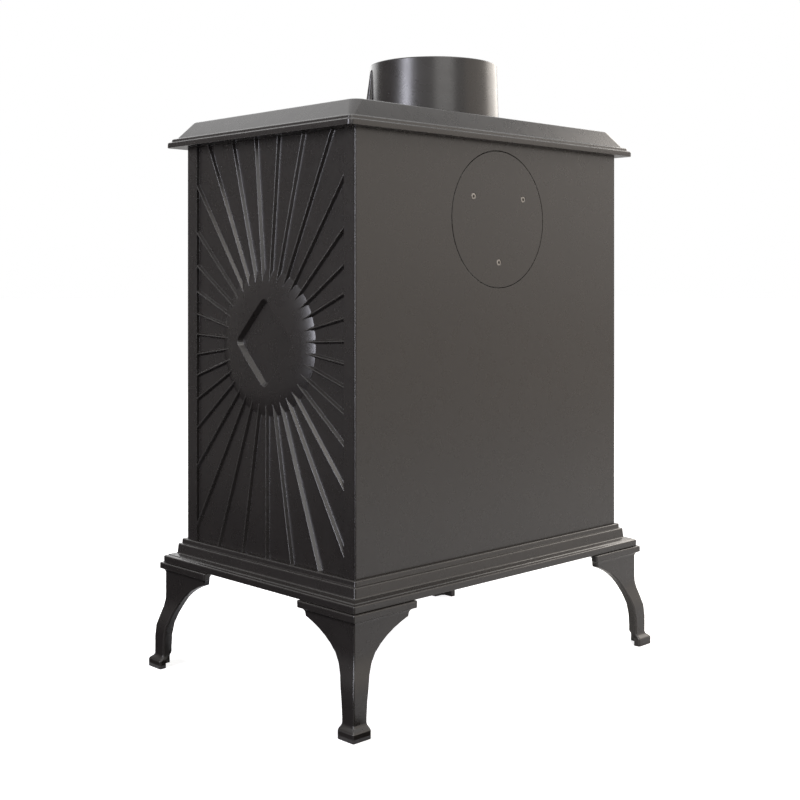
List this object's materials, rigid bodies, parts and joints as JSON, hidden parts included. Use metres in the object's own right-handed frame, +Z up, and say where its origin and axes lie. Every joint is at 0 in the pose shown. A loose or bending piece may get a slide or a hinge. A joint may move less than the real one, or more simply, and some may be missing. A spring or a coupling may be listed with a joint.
{
  "type": "wood stove",
  "caption": "Rectangular cast-iron box stove on four curved corner legs, with sunburst side panels, a sloped hob with a round flue collar, a glazed fire door and an ash door.",
  "frame": {"origin": "centre of the whole stove's outline at floor level, with the levers at rest", "axes": "+Z up, -Y the door side, +Y the rear panel, +X the stove's side that is on the right when it is seen from the front"},
  "size_m": [0.4864, 0.3648, 0.686],
  "materials": {
    "cast_iron": "satin black stove paint on fine-grained castings",
    "black_steel": "blackened steel",
    "bright_steel": "plain steel",
    "ceramic_glass": "polished ceramic glass",
    "fire_brick": "rough vermiculite board",
    "rope_seal": "knitted glass rope"
  },
  "bodies": {
    "stove": {"base_plate": "cast_iron", "leg_front_right": "cast_iron", "leg_front_left": "cast_iron", "leg_rear_right": "cast_iron", "leg_rear_left": "cast_iron", "leg_bolt_front_right": "black_steel", "leg_bolt_front_left": "black_steel", "leg_bolt_rear_right": "black_steel", "leg_bolt_rear_left": "black_steel", "side_panel_right": "cast_iron", "side_panel_left": "cast_iron", "rear_panel": "cast_iron", "blanking_plate": "cast_iron", "blanking_plate_screw_1": "black_steel", "blanking_plate_screw_2": "black_steel", "blanking_plate_screw_3": "black_steel", "hob": "cast_iron", "flue_collar": "cast_iron", "flue_collar_bolt_1": "black_steel", "flue_collar_bolt_2": "black_steel", "front_frame": "cast_iron", "hinge_pin_fire_upper": "black_steel", "hinge_pin_fire_lower": "black_steel", "hinge_pin_ash_upper": "black_steel", "hinge_pin_ash_lower": "black_steel", "grate_bed": "cast_iron", "side_brick_right": "fire_brick", "side_brick_left": "fire_brick", "rear_brick": "fire_brick", "baffle_plate": "cast_iron", "log_guard": "cast_iron", "ash_pan": "black_steel", "tie_rod_front_right": "black_steel", "tie_rod_front_left": "black_steel", "tie_rod_rear_right": "black_steel", "tie_rod_rear_left": "black_steel"},
    "fire_door": {"fire_door": "cast_iron", "door_glass": "ceramic_glass", "fire_door_rope_seal": "rope_seal", "glass_clip_upper_left": "bright_steel", "glass_clip_upper_right": "bright_steel", "glass_clip_lower_left": "bright_steel", "glass_clip_lower_right": "bright_steel", "glass_clip_screw_upper_left": "bright_steel", "glass_clip_screw_upper_right": "bright_steel", "glass_clip_screw_lower_left": "bright_steel", "glass_clip_screw_lower_right": "bright_steel"},
    "fire_door_handle": {"fire_door_latch_spindle": "black_steel", "fire_door_lever": "cast_iron"},
    "ash_door": {"ash_door": "cast_iron", "ash_door_rope_seal": "rope_seal"},
    "ash_door_handle": {"ash_door_latch_spindle": "black_steel", "ash_door_lever": "cast_iron"},
    "primary_air_control": {"primary_air_slide": "cast_iron", "primary_air_knob": "bright_steel"},
    "secondary_air_control": {"secondary_air_slide": "cast_iron", "secondary_air_knob": "bright_steel"},
    "riddling_grate": {"riddling_plate": "cast_iron", "riddling_rod": "bright_steel", "riddling_knob": "black_steel"}
  },
  "joints": [
    {"name": "fire_door_hinge", "type": "hinge", "parent": "stove", "child": "fire_door", "pos_m": [0.193, -0.14713, 0.39], "axis": [0, 0, 1], "range_deg": [0, 110]},
    {"name": "ash_door_hinge", "type": "hinge", "parent": "stove", "child": "ash_door", "pos_m": [0.193, -0.14713, 0.207], "axis": [0, 0, 1], "range_deg": [0, 110]},
    {"name": "fire_door_latch", "type": "hinge", "parent": "fire_door", "child": "fire_door_handle", "pos_m": [-0.146, -0.14113, 0.39], "axis": [0, 1, 0], "range_deg": [-90, 0]},
    {"name": "ash_door_latch", "type": "hinge", "parent": "ash_door", "child": "ash_door_handle", "pos_m": [-0.146, -0.14113, 0.207], "axis": [0, 1, 0], "range_deg": [-90, 0]},
    {"name": "primary_air_slide", "type": "slide", "parent": "ash_door", "child": "primary_air_control", "axis": [1, 0, 0], "range_m": [0, 0.022]},
    {"name": "secondary_air_slide", "type": "slide", "parent": "stove", "child": "secondary_air_control", "axis": [1, 0, 0], "range_m": [0, 0.022]},
    {"name": "riddling_slide", "type": "slide", "parent": "stove", "child": "riddling_grate", "axis": [0, -1, 0], "range_m": [0, 0.02]}
  ]
}
